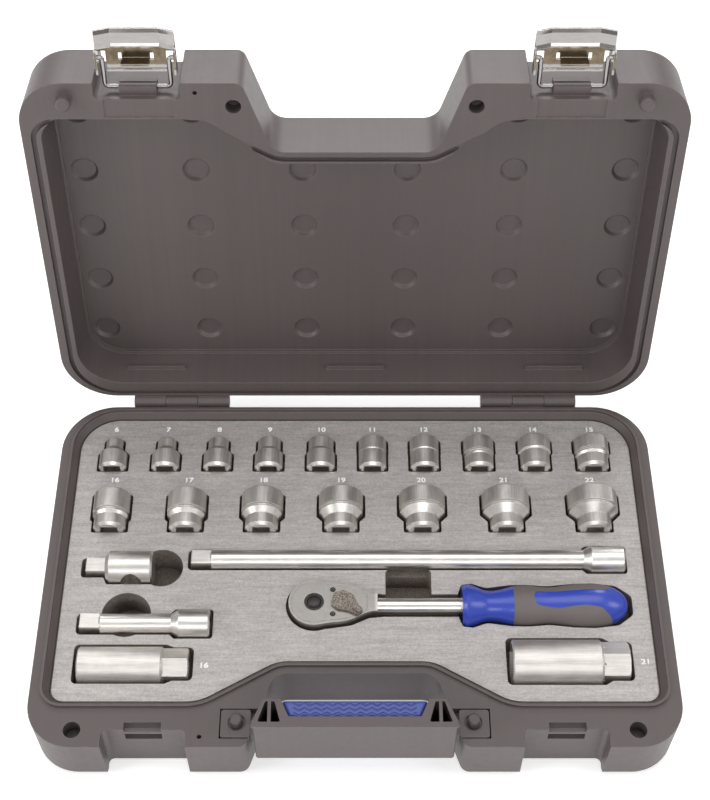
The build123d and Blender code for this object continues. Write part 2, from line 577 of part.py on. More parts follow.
def ratchet_solids():
    """Ratchet lying along +X about its own axis, z = 0 at mid height, seen from its button side."""
    parts = {}
    gear_bore = GEAR_R + 0.25
    shaft = turned([(0, 0), (SHAFT_R, 0), (SHAFT_R, 48), (SHAFT_R + 0.3, 49), (SHAFT_R + 0.3, 90), (0, 91)])
    head = prism(pear(), -HEAD_HALF_H, HEAD_HALF_H) + Pos(NECK_X, 0, 0) * Rot(Y=90) * shaft
    under_edges = head.faces().sort_by(Axis.Z)[0].outer_wire().edges()
    head = fillet([edge for edge in under_edges if edge.center().X < NECK_X - 0.1], 1.2)
    cover_end = Pos(COVER_END_X - 30, 0) * Rectangle(60, 40)
    cover_plan = pear(1.6) & cover_end
    lid_z = HEAD_HALF_H - COVER_T
    head -= prism(cover_plan, lid_z, HEAD_HALF_H + 1)
    floor_z = -GEAR_HALF_H - 0.15
    head -= rod(gear_bore, (HEAD_X, 0, floor_z), (HEAD_X, 0, lid_z + 1))
    head -= rod(BEARING_R + 0.05, (HEAD_X, 0, -HEAD_HALF_H - 1), (HEAD_X, 0, 0))
    pawl_room = Pos(LEVER_PIVOT_X - 2.6, 0) * RectangleRounded(15, 13.2, 3)
    head -= prism(pawl_room, floor_z, lid_z + 1)
    parts["ratchet_body"] = head
    screw_places = [(LEVER_PIVOT_X - 6.2, side * 7.9) for side in (-1, 1)]
    plate = prism(pear(1.68) & Pos(-0.08, 0) * cover_end, lid_z + 0.03, HEAD_HALF_H + 0.15)
    plate -= rod(BUTTON_R + 1.5, (HEAD_X, 0, 0), (HEAD_X, 0, 10))
    plate -= rod(2.6, (LEVER_PIVOT_X, 0, 0), (LEVER_PIVOT_X, 0, 10))
    screws = None
    for x, y in screw_places:
        sink = Pos(x, y, HEAD_HALF_H - 0.35) * Cylinder(1.7, 2)
        shank = rod(0.8, (x, y, lid_z - 2.2), (x, y, HEAD_HALF_H - 0.5))
        top = Pos(x, y, HEAD_HALF_H - 0.4) * Cylinder(1.62, 0.9)
        top -= Pos(x, y, HEAD_HALF_H - 0.3) * extrude(RegularPolygon(0.9, 6), 1)
        plate -= sink
        parts["ratchet_body"] -= rod(0.8, (x, y, lid_z - 2.3), (x, y, lid_z + 1))
        screws = top + shank if screws is None else screws + top + shank
    parts["ratchet_cover"] = plate
    parts["ratchet_cover_screws"] = screws
    return parts


def gear_outline():
    """Outline of the ratchet wheel: symmetric teeth of equal pitch."""
    points = []
    for step in range(2 * GEAR_TEETH):
        radius = GEAR_R - (TOOTH_DEPTH if step % 2 else 0)
        angle = pi * step / GEAR_TEETH
        points.append((radius * cos(angle), radius * sin(angle)))
    return make_face(Polyline(*points, close=True).edges())


def drive_solids():
    """Wheel with the square drive below it, its ball, and the release button with its spring."""
    wheel = prism(gear_outline(), -GEAR_HALF_H, GEAR_HALF_H)
    wheel += rod(BEARING_R, (0, 0, -HEAD_HALF_H - 0.3), (0, 0, 0))
    wheel += rod(BUTTON_R + 1.3, (0, 0, 0), (0, 0, HEAD_HALF_H - 0.1))
    wheel += Pos(0, 0, -HEAD_HALF_H) * Rot(X=180) * male_square(SQUARE_LEN)
    wheel -= rod(BUTTON_R + 0.1, (0, 0, -1.5), (0, 0, 10))
    wheel -= rod(1.75, (0, 0, -HEAD_HALF_H - SQUARE_LEN + 2.5), (0, 0, 1))
    button = turned([(0, 0.9), (BUTTON_R, 0.9), (BUTTON_R, 5.6), (BUTTON_R - 0.9, 6.8),
                     (BUTTON_R - 2.4, 7.2), (0, 7.3)])
    button += rod(1.6, (0, 0, -HEAD_HALF_H - 3), (0, 0, 2))
    spring = rod(3.4, (0, 0, -1.3), (0, 0, 0.8)) - rod(2.1, (0, 0, -2), (0, 0, 2))
    ball = Pos(0, 0, -HEAD_HALF_H) * Rot(X=180) * drive_ball(SQUARE_LEN)
    return {"ratchet_drive_gear": wheel, "ratchet_release_button": button, "ratchet_button_spring": spring,
            "ratchet_drive_ball": ball}


def reversing_lever():
    """Fan-shaped thumb lever on its stem; the thumb tab points down the handle to one side."""
    fan = [(-7.2, -2.6), (-6.0, 4.4), (0.0, 6.6), (5.6, 3.4), (8.6, -3.4), (11.4, -6.2), (8.4, -9.6),
           (2.6, -6.8), (-4.0, -5.6)]
    lever_plan = outline(fan, [2, 2.5, 3, 2, 1, 1.2, 1.2, 1, 2])
    top = prism(lever_plan, HEAD_HALF_H + 0.4, HEAD_HALF_H + 2.4)
    tab = outline([(6.6, -3.6), (11.3, -6.4), (9.0, -9.2), (4.6, -5.6)], [0.8, 0.8, 0.8, 0.8])
    top += prism(tab, HEAD_HALF_H + 2, HEAD_HALF_H + 4.2)
    stem = rod(2.5, (0, 0, 1.2), (0, 0, HEAD_HALF_H + 1)) + rod(PAWL_PIN_R, (0, 0, -GEAR_HALF_H), (0, 0, 2))
    return top + stem


def pawl():
    """Pawl on the lever's pin, rocked so that its tip on the +Y side stands in mesh with the wheel."""
    wheel_x = HEAD_X - LEVER_PIVOT_X
    plan = outline([(-9.0, -5.3), (-6.0, -5.6), (2.6, -2.8), (2.6, 2.8), (-6.0, 5.6), (-9.0, 5.3)],
                   [0.5, 1.5, 2.2, 2.2, 1.5, 0.5])
    plan = plan - Pos(wheel_x, 0) * Circle(GEAR_R + 0.9) - Circle(PAWL_PIN_R + 0.06)
    return Rot(Z=PAWL_ROCK) * prism(plan, -GEAR_HALF_H, 0.9)


def grip_solid(inset):
    """Whole grip along +Z, its surface moved in by inset: flange, waist, swell and round butt."""
    stations = [(2.6, 12.9), (7.0, 11.6), (14.0, 9.1), (22.0, 9.6), (30.0, 11.5), (38.0, 12.0), (50.0, 10.9),
                (62.0, 12.4), (72.0, 13.1), (83.0, 12.2), (91.0, 8.6)]
    side = [(radius - inset, 0, z) for z, radius in stations]
    end_z = GRIP_X1 - GRIP_X0 - inset
    last_r, last_z = side[-1][0], side[-1][2]
    centre_z = (end_z ** 2 - last_z ** 2 - last_r ** 2) / (2 * (end_z - last_z))
    ball_r = end_z - centre_z
    butt = ThreePointArc(side[-1], (ball_r * sin(0.5), 0, centre_z + ball_r * cos(0.5)), (0, 0, end_z))
    front = Polyline((0, 0, end_z), (0, 0, inset), (side[0][0] - 1.2, 0, inset), side[0])
    return revolve(make_face([*Spline(*side).edges(), *butt.edges(), *front.edges()]), Axis.Z)


def grip_solids():
    """Blue core and the grey soft overlay let into it, which leaves a stripe of the core bare on top."""
    whole = grip_solid(0)
    core_inner = grip_solid(1.2)
    stripe_x = SEAM_X - GRIP_X0
    bore_r = SHAFT_R + 0.34
    bore = turned([(0, -1), (bore_r, -1), (bore_r, 42), (0, 43.2)])
    overlay_end = 90.0
    stripe = [(41, -4.4), (55, -6.2), (70, -5.3), (79, -6.4), (86, -11), (overlay_end, -20),
              (overlay_end + 9, -20), (overlay_end + 9, 20), (overlay_end, 20), (84, 4.8), (62, 4.0), (41, 4.2)]
    plan = outline(stripe, [3.5, 10, 10, 6, 4, 0, 0, 0, 0, 4, 10, 3.5])
    band = Pos(0, 0, (stripe_x + overlay_end) / 2) * Cylinder(20, overlay_end - stripe_x)
    top_cutter = Rot(Y=-90) * prism(plan, 0, 20)
    overlay_room = (Cylinder(20, 200) - core_inner) & (band - top_cutter)
    overlay = whole & overlay_room
    core = whole - overlay_room - bore
    return {"ratchet_grip_core": core, "ratchet_grip_overlay": overlay}


def add_ratchet():
    place = Pos(0, RATCHET_Y, RATCHET_Z)
    for name, shape in ratchet_solids().items():
        nodes[name] = place * shape
    for name, shape in drive_solids().items():
        nodes[name] = place * Pos(HEAD_X, 0, 0) * shape
    nodes["ratchet_reversing_lever"] = place * Pos(LEVER_PIVOT_X, 0, 0) * reversing_lever()
    nodes["ratchet_pawl"] = place * Pos(LEVER_PIVOT_X, 0, 0) * pawl()
    for name, shape in grip_solids().items():
        nodes[name] = place * Pos(GRIP_X0, 0, 0) * Rot(Y=90) * shape


# ---------------------------------------------------------------- inlay

def ratchet_pocket():
    gap = 1.6
    head = Pos(HEAD_X, RATCHET_Y) * Circle(HEAD_R + gap)
    neck = outline([(-19, 15.6), (-2, 12.9), (8, 8.2), (17, 7.4), (66, 7.4), (66, -7.4), (17, -7.4), (8, -8.2),
                    (-2, -12.9), (-19, -15.6)], [3, 8, 8, 8, 0, 0, 8, 8, 8, 3])
    grip = [(60, 8), (62, 13.6), (68, 14.4), (76, 11.4), (90, 13.4), (100, 13.6), (112, 12.6), (126, 14.2),
            (138, 14.6), (152, 12.8), (160.6, 6)]
    grip_plan = outline(grip + [(x, -y) for x, y in reversed(grip)],
                        [1, 2, 3, 8, 12, 20, 20, 20, 12, 6, 4] + [4, 6, 12, 20, 20, 20, 12, 8, 3, 2, 1])
    return head + Pos(0, RATCHET_Y) * neck, Pos(0, RATCHET_Y) * grip_plan


def pockets():
    """Cutters for every pocket, each as deep as its tool needs."""
    cutters = []
    for sizes, front_y, length in ((ROW_1, ROW_1_FRONT_Y, ROW_1_LEN), (ROW_2, ROW_2_FRONT_Y, ROW_2_LEN)):
        for x, hex_od, drive_od in sizes.values():
            low = INLAY_Z - max(hex_od, drive_od) / 2 - 0.3
            cutters.append(prism(socket_pocket(x, front_y, length, hex_od, drive_od), low, SEAM_Z))
    for spec in (LONG_BAR, SHORT_BAR):
        shaft_half = spec["shaft_r"] + 0.9
        head_half = spec["head_r"] + 0.9
        bend = spec["x1"] - spec["head_len"] - 1
        points = [(spec["x0"] - 2.2, -shaft_half), (bend, -shaft_half), (bend + 2.5, -head_half),
                  (spec["x1"] + 1.6, -head_half), (spec["x1"] + 1.6, head_half), (bend + 2.5, head_half),
                  (bend, shaft_half), (spec["x0"] - 2.2, shaft_half)]
        plan = Pos(0, spec["y"]) * outline(points, [3, 0, 0, 2, 2, 0, 0, 3])
        cutters.append(prism(plan, INLAY_Z - spec["head_r"] - 0.3, SEAM_Z))
    tee_plan = outline([(-161, -6.5), (-147.5, -6.5), (-145.5, -11), (-113.6, -11), (-113.6, 11), (-145.5, 11),
                        (-147.5, 6.5), (-161, 6.5)], [2.5, 0, 0, 0, 0, 0, 0, 2.5])
    cutters.append(prism(tee_plan, INLAY_Z - TEE_R - 0.3, SEAM_Z))
    cutters.append(prism(Pos(-113.6, 0) * Circle(12.4), INLAY_Z - FINGER_DEPTH, SEAM_Z))
    cutters.append(prism(Pos(-132, -31) * Circle(14.3), INLAY_Z - FINGER_DEPTH, SEAM_Z))
    for spec in DEEP_SOCKETS.values():
        plan = deep_pocket(spec["x0"], spec["x1"], spec["y"], spec["radius"], spec["hex_af"], spec["hex_x"])
        cutters.append(prism(plan, DEEP_Z - spec["radius"] - 0.3, SEAM_Z))
    head_plan, grip_plan = ratchet_pocket()
    cutters.append(prism(head_plan, RATCHET_Z - HEAD_HALF_H - 0.4, SEAM_Z))
    cutters.append(prism(grip_plan, RATCHET_Z - 13.5, SEAM_Z))
    drive_floor = RATCHET_Z - HEAD_HALF_H - SQUARE_LEN - 1
    cutters.append(prism(Pos(HEAD_X, RATCHET_Y) * Circle(8.5), drive_floor, SEAM_Z))
    cutters.append(prism(Pos(31.2, -11) * RectangleRounded(26.8, 19, 2), INLAY_Z - FINGER_DEPTH, SEAM_Z))
    return cutters


DEEP_SOCKETS = {
    16: {"x0": -156.5, "x1": -94.0, "y": -62.3, "radius": 11.0, "hex_af": 17.5, "hex_x": -107.9},
    21: {"x0": 88.7, "x1": 154.9, "y": -60.6, "radius": 13.4, "hex_af": 21.0, "hex_x": 139.9},
}


def inlay():
    """Foam base sheet, two foam blocks on it and a thin brushed face that shares their pockets."""
    foam_plan = offset(tray_plan(), -INLAY_MARGIN - FOAM_GAP)
    face_plan = offset(tray_plan(), -INLAY_MARGIN - FACE_GAP)
    sheet_top = INLAY_Z - FINGER_DEPTH
    face_low = INLAY_Z - FACE_T
    foam = prism(foam_plan, sheet_top, face_low)
    face = prism(face_plan, face_low, INLAY_Z)
    for cutter in pockets():
        foam -= cutter
        face -= cutter
    half = CASE_W / 2
    front_zone = block((-half, half), (FRONT_Y, FOAM_SPLIT_Y), (0, SEAM_Z))
    return {"inlay_foam_sheet": prism(foam_plan, FLOOR_T, sheet_top), "inlay_foam_front": foam & front_zone,
            "inlay_foam_rear": foam - front_zone, "inlay_face": face}


# ---------------------------------------------------------------- assembly

nodes["base_shell"] = base_shell()
nodes["lid_shell"] = swung_open(lid_shell())
nodes["hinge_pins"] = hinge_pins()
nodes["handle_frame"] = handle_frame()
nodes["handle_grip"] = handle_grip()
nodes["handle_pins"] = handle_pins()
for side_name, side in (("left", -1), ("right", 1)):
    nodes[f"latch_{side_name}_bail"] = laid_out(bail(), side)
    nodes[f"latch_{side_name}_lever"] = laid_out(lever(), side)
nodes.update(inlay())
add_sockets()
nodes["extension_long"], nodes["extension_long_ball"] = bar(**LONG_BAR)
nodes["extension_short"], nodes["extension_short_ball"] = bar(**SHORT_BAR)
nodes["tee_adapter"], nodes["tee_adapter_ball"] = tee_adapter()
for size, spec in DEEP_SOCKETS.items():
    nodes[f"spark_plug_socket_{size}"], nodes[f"spark_plug_sleeve_{size}"] = spark_plug_socket(size, **spec)
add_ratchet()

os.makedirs("parts", exist_ok=True)
for name, shape in nodes.items():
    export_step(shape, f"parts/{name}.step")
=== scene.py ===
import bpy
import bmesh
from math import radians
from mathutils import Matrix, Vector


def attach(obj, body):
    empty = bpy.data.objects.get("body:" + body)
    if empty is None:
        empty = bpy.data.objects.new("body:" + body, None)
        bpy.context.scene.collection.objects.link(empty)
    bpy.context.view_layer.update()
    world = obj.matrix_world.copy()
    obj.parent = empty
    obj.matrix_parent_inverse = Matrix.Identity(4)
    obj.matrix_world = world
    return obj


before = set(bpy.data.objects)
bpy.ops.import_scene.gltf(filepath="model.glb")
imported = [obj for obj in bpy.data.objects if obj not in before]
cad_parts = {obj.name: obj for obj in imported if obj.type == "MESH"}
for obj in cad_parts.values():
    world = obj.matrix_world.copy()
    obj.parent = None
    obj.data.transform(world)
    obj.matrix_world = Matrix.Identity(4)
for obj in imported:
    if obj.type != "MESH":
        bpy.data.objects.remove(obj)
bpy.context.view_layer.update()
scene = bpy.context.scene

# The camera looks down over the handle side, from the angle that shows the inlay and the inside of the lid.
CAMERA_PLACE = (0.0, -0.457, 0.8252)
CAMERA_TILT = 36.256
LENS = 69.38

# Colours are linear RGB. The other numbers beside them are places and sizes in metres.
CASE_COLOUR = (0.093, 0.0745, 0.0735)
INLAY_COLOUR = (0.43, 0.405, 0.39)
FOAM_COLOUR = (0.19, 0.16, 0.14)
CHROME_COLOUR = (0.74, 0.71, 0.675)
HEAD_COLOUR = (0.42, 0.40, 0.375)
BRIGHT_COLOUR = (0.80, 0.77, 0.72)
LATCH_COLOUR = (0.36, 0.345, 0.335)
# Painted brown reflection on the latch lever's web: its colour, the web's lower and upper heights, and the
# fade at each.
LEVER_REFLECTION_TINT = (0.17, 0.135, 0.092)
LEVER_WEB_LOW = 0.2705
LEVER_WEB_HIGH = 0.2805
LEVER_REFLECTION_FADE = 0.0009
SHANK_START = 0.0110
SHANK_FADE = 0.0020
DARK_STEEL_COLOUR = (0.05, 0.048, 0.047)
HANDLE_BLUE_COLOUR = (0.048, 0.072, 0.31)
# Painted highlight colour along the handle grip's edges.
HANDLE_BLUE_EDGE_HIGHLIGHT = (0.18, 0.22, 0.55)
RATCHET_BLUE_COLOUR = (0.034, 0.066, 0.44)
# Painted highlight colour along the ratchet grip's edges.
RATCHET_BLUE_EDGE_HIGHLIGHT = (0.14, 0.20, 0.75)
GRIP_GREY_COLOUR = (0.155, 0.132, 0.126)
RUBBER_COLOUR = (0.018, 0.017, 0.017)
WHITE_INK = (0.9, 0.89, 0.87)
# Painted highlight colour along steel edges.
STEEL_EDGE_HIGHLIGHT_COLOUR = (0.9, 0.88, 0.85)

# Edges carry a painted highlight this much brighter than the case's own colour.
EDGE_HIGHLIGHT_GAIN = 2.6
# Depth of the moulded grain and of the polishing lines on steel, in metres.
MOULD_GRAIN = 0.00006
POLISH_DEPTH = 0.00003

# Size numbers printed on the inlay. Their places are in millimetres, at the middle of each number.
INLAY_TOP = 0.035
NUMBER_HEIGHT = 0.0032
SIZE_PER_DIGIT_HEIGHT = 1.38
NUMBER_STRETCH = 1.25
NUMBER_BOLDNESS = 0.00017
NUMBER_LAYER = 0.00001
INK_THICKNESS = 0.00006
ROW_1_Y = 99.3
ROW_1_X = (-149.2, -116.8, -84.8, -53.2, -21.1, 10.8, 42.9, 76.5, 111.1, 146.5)
ROW_1_SMALLEST = 6
ROW_2_Y = 61.6
ROW_2_X = (-147.0, -101.6, -56.0, -8.5, 40.5, 91.0, 143.5)
ROW_2_SMALLEST = 16
SINGLE_NUMBERS = (("16", -85.4, -63.3), ("21", 164.4, -61.1))


# ---------------------------------------------------------------- material building blocks

class Nodes:
    """Short-hand for building one material's node tree."""

    def __init__(self, name):
        self.material = bpy.data.materials.new(name)
        self.material.use_nodes = True
        self.tree = self.material.node_tree
        self.shader = self.tree.nodes["Principled BSDF"]
        coordinates = self.tree.nodes.new("ShaderNodeTexCoord")
        self.place = coordinates.outputs["Object"]

    def add(self, kind, **settings):
        node = self.tree.nodes.new(kind)
        for key, value in settings.items():
            setattr(node, key, value)
        return node

    def link(self, source, target):
        self.tree.links.new(source, target)

    def stretched(self, scale):
        mapping = self.add("ShaderNodeMapping")
        mapping.inputs["Scale"].default_value = scale
        self.link(self.place, mapping.inputs["Vector"])
        return mapping.outputs["Vector"]

    def noise(self, scale, detail=3.0, roughness=0.55, vector=None):
        node = self.add("ShaderNodeTexNoise")
        node.inputs["Scale"].default_value = scale
        node.inputs["Detail"].default_value = detail
        node.inputs["Roughness"].default_value = roughness
        self.link(vector or self.place, node.inputs["Vector"])
        return node.outputs["Fac"]

    def remap(self, value, low, high, start=0.0, end=1.0):
        node = self.add("ShaderNodeMapRange")
        node.inputs["From Min"].default_value = start
        node.inputs["From Max"].default_value = end
        node.inputs["To Min"].default_value = low
        node.inputs["To Max"].default_value = high
        self.link(value, node.inputs["Value"])
        return node.outputs["Result"]

    def math(self, operation, a, b):
        node = self.add("ShaderNodeMath", operation=operation)
        for socket, value in zip(node.inputs, (a, b)):
            if isinstance(value, (int, float)):
                socket.default_value = value
            else:
                self.link(value, socket)
        return node.outputs[0]

    def tint(self, colour, factor):
        """Colour multiplied by a grey factor that varies over the surface."""
        node = self.add("ShaderNodeVectorMath", operation="SCALE")
        node.inputs[0].default_value = colour
        self.link(factor, node.inputs["Scale"])
        return node.outputs["Vector"]

    def mix(self, factor, a, b):
        node = self.add("ShaderNodeMix", data_type="RGBA")
        self.link(factor, node.inputs["Factor"])
        for index, value in ((6, a), (7, b)):
            if isinstance(value, tuple):
                node.inputs[index].default_value = (*value, 1.0)
            else:
                self.link(value, node.inputs[index])
        return node.outputs[2]

    def bevel(self, radius):
        node = self.add("ShaderNodeBevel", samples=4)
        node.inputs["Radius"].default_value = radius
        return node.outputs["Normal"]

    def bump(self, height, distance, strength=1.0, normal=None):
        node = self.add("ShaderNodeBump")
        node.inputs["Distance"].default_value = distance
        node.inputs["Strength"].default_value = strength
        self.link(height, node.inputs["Height"])
        if normal is not None:
            self.link(normal, node.inputs["Normal"])
        return node.outputs["Normal"]

    def edge_mask(self, radius):
        """1 along edges and 0 on open surface, from how far a rounded normal turns away."""
        rounded = self.bevel(radius)
        geometry = self.add("ShaderNodeNewGeometry")
        dot = self.add("ShaderNodeVectorMath", operation="DOT_PRODUCT")
        self.link(rounded, dot.inputs[0])
        self.link(geometry.outputs["Normal"], dot.inputs[1])
        return self.remap(dot.outputs["Value"], 1.0, 0.0, 0.75, 0.995)

    def finish(self, colour=None, roughness=None, normal=None, **constants):
        if colour is not None:
            self.link(colour, self.shader.inputs["Base Color"])
        if roughness is not None:
            self.link(roughness, self.shader.inputs["Roughness"])
        if normal is not None:
            self.link(normal, self.shader.inputs["Normal"])
        for key, value in constants.items():
            self.shader.inputs[key.replace("_", " ")].default_value = value
        return self.material


# ---------------------------------------------------------------- materials

def case_plastic():
    """Moulded case plastic: fine spark-eroded grain, faint flow streaks and a painted highlight along the
    edges.
    """
    n = Nodes("case_plastic")
    grain_height = n.noise(2600, 2.0)
    streaks = n.noise(34, 3.0, vector=n.stretched((9.0, 0.6, 0.6)))
    clouds = n.noise(14, 4.0)
    factor = n.math("MULTIPLY", n.remap(streaks, 0.93, 1.07), n.remap(clouds, 0.94, 1.06))
    # Painted highlight along the edges, broken up by noise.
    edge_highlight = n.math("MULTIPLY", n.edge_mask(0.0011), n.remap(n.noise(160, 3.0), 0.15, 0.75, 0.3, 0.8))
    edge_highlight_colour = tuple(channel * EDGE_HIGHLIGHT_GAIN for channel in CASE_COLOUR)
    colour_out = n.mix(edge_highlight, n.tint(CASE_COLOUR, factor), edge_highlight_colour)
    roughness = n.remap(n.noise(240, 3.0), 0.38, 0.52)
    normal = n.bump(grain_height, MOULD_GRAIN, 0.6, n.bevel(0.0007))
    return n.finish(colour_out, roughness, normal, Specular_IOR_Level=0.55)


def lid_plastic():
    """The lid's plastic, with the fine straight tool lines left by the mould on its inside."""
    n = Nodes("lid_plastic")
    grain_height = n.noise(2600, 2.0)
    lines = n.noise(420, 1.5, vector=n.stretched((1.0, 0.02, 0.02)))
    bands = n.noise(22, 2.0, vector=n.stretched((1.0, 0.04, 0.04)))
    clouds = n.noise(11, 4.0)
    factor = n.math("MULTIPLY", n.remap(lines, 0.90, 1.10), n.remap(bands, 0.90, 1.10))
    factor = n.math("MULTIPLY", factor, n.remap(clouds, 0.95, 1.05))
    # Painted highlight along the edges, broken up by noise.
    edge_highlight = n.math("MULTIPLY", n.edge_mask(0.0011), n.remap(n.noise(160, 3.0), 0.15, 0.75, 0.3, 0.8))
    edge_highlight_colour = tuple(channel * EDGE_HIGHLIGHT_GAIN for channel in CASE_COLOUR)
    colour_out = n.mix(edge_highlight, n.tint(CASE_COLOUR, factor), edge_highlight_colour)
    roughness = n.remap(n.noise(240, 3.0), 0.38, 0.52)
    height = n.math("ADD", n.math("MULTIPLY", lines, 0.5), grain_height)
    normal = n.bump(height, MOULD_GRAIN, 0.6, n.bevel(0.0007))
    return n.finish(colour_out, roughness, normal, Specular_IOR_Level=0.55)


def inlay_laminate():
    """Brushed laminate on the foam: long fine scratches along X over a mottled silver grey."""
    n = Nodes("inlay_laminate")
    fine = n.noise(1300, 3.0, 0.7, n.stretched((0.06, 1.0, 1.0)))
    broad = n.noise(260, 4.0, 0.7, n.stretched((0.16, 1.0, 1.0)))
    speckle = n.noise(900, 2.0)
    factor = n.math("MULTIPLY", n.remap(fine, 0.82, 1.18, 0.25, 0.75), n.remap(broad, 0.86, 1.14, 0.25, 0.75))
    factor = n.math("MULTIPLY", factor, n.remap(speckle, 0.86, 1.14, 0.3, 0.7))
    normal = n.bump(fine, 0.00005, 0.5, n.bevel(0.0004))
    return n.finish(n.tint(INLAY_COLOUR, factor), n.remap(fine, 0.34, 0.52), normal, Metallic=0.45)


def cut_foam():
    n = Nodes("cut_foam")
    cells = n.add("ShaderNodeTexVoronoi")
    cells.inputs["Scale"].default_value = 900
    n.link(n.place, cells.inputs["Vector"])
    factor = n.math("MULTIPLY", n.remap(cells.outputs["Distance"], 0.8, 1.5), n.remap(n.noise(300), 0.8, 1.2))
    normal = n.bump(cells.outputs["Distance"], 0.0003, 0.8)
    roughness = n.remap(n.noise(400), 0.75, 0.95)
    return n.finish(n.tint(FOAM_COLOUR, factor), roughness, normal, Specular_IOR_Level=0.25)


def satin_chrome(name="satin_chrome", grain=(1.0, 1.0, 1.0), colour=CHROME_COLOUR, rough=(0.30, 0.42)):
    """Satin chrome-vanadium steel: polishing lines, cloudy plating and a painted highlight along the edges.
    """
    n = Nodes(name)
    lines = n.noise(1400, 2.0, 0.6, n.stretched(grain))
    clouds = n.noise(120, 4.0)
    factor = n.math("MULTIPLY", n.remap(lines, 0.90, 1.10, 0.3, 0.7), n.remap(clouds, 0.92, 1.06, 0.3, 0.7))
    # Painted highlight: edges are mixed toward a pale steel colour.
    edge_highlight = n.edge_mask(0.0005)
    colour_out = n.mix(n.math("MULTIPLY", edge_highlight, 0.6), n.tint(colour, factor), STEEL_EDGE_HIGHLIGHT_COLOUR)
    roughness = n.math("ADD", n.remap(lines, *rough), n.remap(clouds, -0.03, 0.05))
    normal = n.bump(lines, POLISH_DEPTH, 0.35, n.bevel(0.0003))
    return n.finish(colour_out, roughness, normal, Metallic=1.0)


def ratchet_body_steel():
    """Dull steel on the flat head, turning into polished chrome where the round shank starts."""
    n = Nodes("ratchet_body_steel")
    lines = n.noise(1400, 2.0, 0.6, n.stretched((0.04, 1.0, 1.0)))
    clouds = n.noise(120, 4.0)
    split = n.add("ShaderNodeSeparateXYZ")
    n.link(n.place, split.inputs["Vector"])
    shank = n.remap(split.outputs["X"], 0.0, 1.0, SHANK_START, SHANK_START + SHANK_FADE)
    factor = n.math("MULTIPLY", n.remap(lines, 0.92, 1.08, 0.3, 0.7), n.remap(clouds, 0.92, 1.06, 0.3, 0.7))
    colour = n.mix(shank, n.tint(HEAD_COLOUR, factor), n.tint(CHROME_COLOUR, factor))
    # Painted highlight along the edges.
    colour = n.mix(n.math("MULTIPLY", n.edge_mask(0.0005), 0.6), colour, STEEL_EDGE_HIGHLIGHT_COLOUR)
    roughness = n.math("ADD", n.remap(shank, 0.42, 0.30), n.remap(clouds, -0.04, 0.05))
    return n.finish(colour, roughness, n.bump(lines, POLISH_DEPTH, 0.35, n.bevel(0.0003)), Metallic=1.0)


def latch_lever_steel():
    """Bright latch steel, with a painted brown reflection over the lower web of the lever."""
    n = Nodes("latch_lever_steel")
    clouds = n.noise(190, 4.0)
    lines = n.noise(900, 2.0, 0.6, n.stretched((0.2, 1.0, 1.0)))
    split = n.add("ShaderNodeSeparateXYZ")
    n.link(n.place, split.inputs["Vector"])
    ragged = n.math("ADD", split.outputs["Z"], n.remap(clouds, -0.0006, 0.0006, 0.3, 0.7))
    above = n.remap(ragged, 0.0, 1.0, LEVER_WEB_LOW, LEVER_WEB_LOW + LEVER_REFLECTION_FADE)
    below = n.remap(ragged, 1.0, 0.0, LEVER_WEB_HIGH, LEVER_WEB_HIGH + LEVER_REFLECTION_FADE)
    factor = n.remap(lines, 0.95, 1.05, 0.3, 0.7)
    # Painted brown reflection on the lower web, between LEVER_WEB_LOW and LEVER_WEB_HIGH.
    reflection_colour = n.tint(LEVER_REFLECTION_TINT, n.math("MULTIPLY", factor, n.remap(clouds, 0.65, 1.35, 0.3, 0.7)))
    colour = n.mix(n.math("MULTIPLY", above, below), n.tint(LATCH_COLOUR, factor), reflection_colour)
    # Painted highlight along the edges.
    colour = n.mix(n.math("MULTIPLY", n.edge_mask(0.0005), 0.7), colour, STEEL_EDGE_HIGHLIGHT_COLOUR)
    normal = n.bump(lines, POLISH_DEPTH, 0.35, n.bevel(0.0003))
    return n.finish(colour, n.remap(clouds, 0.14, 0.28), normal, Metallic=1.0)


def dark_steel():
    n = Nodes("dark_steel")
    clouds = n.noise(260, 4.0)
    # Painted highlight along the edges, broken up by noise.
    edge_highlight = n.math("MULTIPLY", n.edge_mask(0.0004), n.remap(clouds, 0.3, 1.0))
    colour = n.mix(edge_highlight, n.tint(DARK_STEEL_COLOUR, n.remap(clouds, 0.7, 1.4)), (0.3, 0.29, 0.28))
    normal = n.bump(clouds, 0.00005, 0.4, n.bevel(0.0003))
    return n.finish(colour, n.remap(clouds, 0.3, 0.5), normal, Metallic=0.7)


def knurled_lever():
    """Blackened lever whose top is coarsely knurled; its mottling is painted glints and reflection, pale
    brownish speckle over dark.
    """
    n = Nodes("knurled_lever")
    cells = n.add("ShaderNodeTexVoronoi")
    cells.inputs["Scale"].default_value = 1250
    n.link(n.place, cells.inputs["Vector"])
    height = cells.outputs["Distance"]
    # Painted glints and reflection: knurl cells mix from dark to pale brown in step with their bump.
    colour = n.mix(n.remap(height, 0.0, 1.0, 0.15, 0.7), (0.05, 0.04, 0.033), (0.34, 0.30, 0.26))
    normal = n.bump(height, 0.0002, 0.7, n.bevel(0.0003))
    return n.finish(colour, n.remap(height, 0.3, 0.5), normal, Metallic=0.7)


def blue_plastic(name, colour, edge_highlight_colour, rough):
    n = Nodes(name)
    grain_height = n.noise(1900, 2.0)
    clouds = n.noise(40, 3.0)
    # Painted highlight along the edges, a paler blue broken up by noise.
    edge_highlight = n.math("MULTIPLY", n.edge_mask(0.0006), n.remap(clouds, 0.1, 0.5))
    colour_out = n.mix(edge_highlight, n.tint(colour, n.remap(clouds, 0.88, 1.12)), edge_highlight_colour)
    normal = n.bump(grain_height, MOULD_GRAIN, 0.6, n.bevel(0.0005))
    return n.finish(colour_out, n.remap(n.noise(300), *rough), normal, Specular_IOR_Level=0.6)


